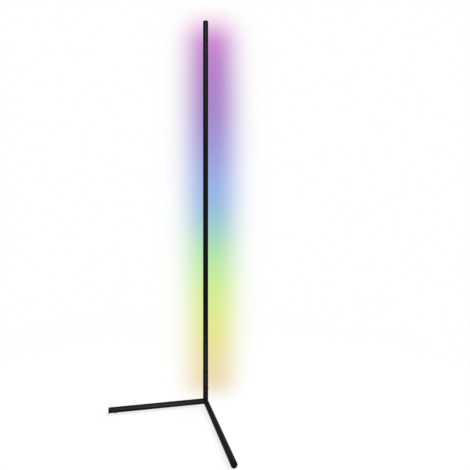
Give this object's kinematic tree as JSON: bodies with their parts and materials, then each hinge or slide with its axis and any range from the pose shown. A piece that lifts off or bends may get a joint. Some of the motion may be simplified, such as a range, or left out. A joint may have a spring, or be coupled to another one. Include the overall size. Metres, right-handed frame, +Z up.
{
  "type": "corner floor lamp",
  "caption": "Slim round light bar standing upright on a base of two legs at a right angle, with a backward-facing strip of coloured lights behind an opal diffuser.",
  "frame": {"origin": "on the floor under the axis of the light bar, at the middle of the bottom face of the foot pad under the corner", "axes": "+Z up along the light bar; -Y is the front, halfway between the two legs; the light leaves towards +Y; +X is the side of the right leg"},
  "size_m": [0.5077, 0.2663, 1.4],
  "materials": {
    "black_powder_coat": "satin black powder coat with a fine grain",
    "black_anodised": "satin black anodised extrusion",
    "plug_aluminium": "turned aluminium",
    "ballast_steel": "drawn steel bar",
    "black_screw_steel": "black zinc plated steel",
    "black_plastic": "fine matt moulded plastic",
    "pad_rubber": "soft rubber",
    "opal_diffuser": "opal satin polycarbonate, lit from inside",
    "tape_film": "double-sided tape",
    "strip_white": "white solder mask on a flexible strip",
    "light_package": "white package with a clear resin well",
    "lead_insulation": "soft insulation",
    "board_laminate": "green solder mask",
    "chip_resin": "black moulded resin",
    "sled_plastic": "natural nylon",
    "inlet_nickel": "nickel plated brass"
  },
  "bodies": {
    "root": {"corner_casting": "black_powder_coat", "upright_tube": "black_powder_coat", "seam_ring": "black_plastic", "left_leg_tube": "black_powder_coat", "right_leg_tube": "black_powder_coat", "left_leg_ballast": "ballast_steel", "right_leg_ballast": "ballast_steel", "left_tip_cap": "black_plastic", "right_tip_cap": "black_plastic", "middle_foot_pad": "pad_rubber", "left_foot_pad": "pad_rubber", "right_foot_pad": "pad_rubber", "leg_screws": "black_screw_steel", "upright_screw": "black_screw_steel", "bar_clamp_screw": "black_screw_steel", "joint_plug": "plug_aluminium", "joint_plug_screw": "black_screw_steel", "bar_profile": "black_anodised", "diffuser": "opal_diffuser", "top_cap": "black_plastic", "top_cap_screw": "black_screw_steel", "strip_tape": "tape_film", "strip_board": "strip_white", "strip_lights": "light_package", "strip_leads": "lead_insulation", "controller_sled": "sled_plastic", "controller_board": "board_laminate", "controller_chips": "chip_resin", "inlet_leads": "lead_insulation", "inlet_body": "black_plastic", "inlet_pin": "inlet_nickel", "inlet_spring": "inlet_nickel", "inlet_seat": "black_plastic", "inlet_nut": "inlet_nickel"}
  },
  "joints": []
}
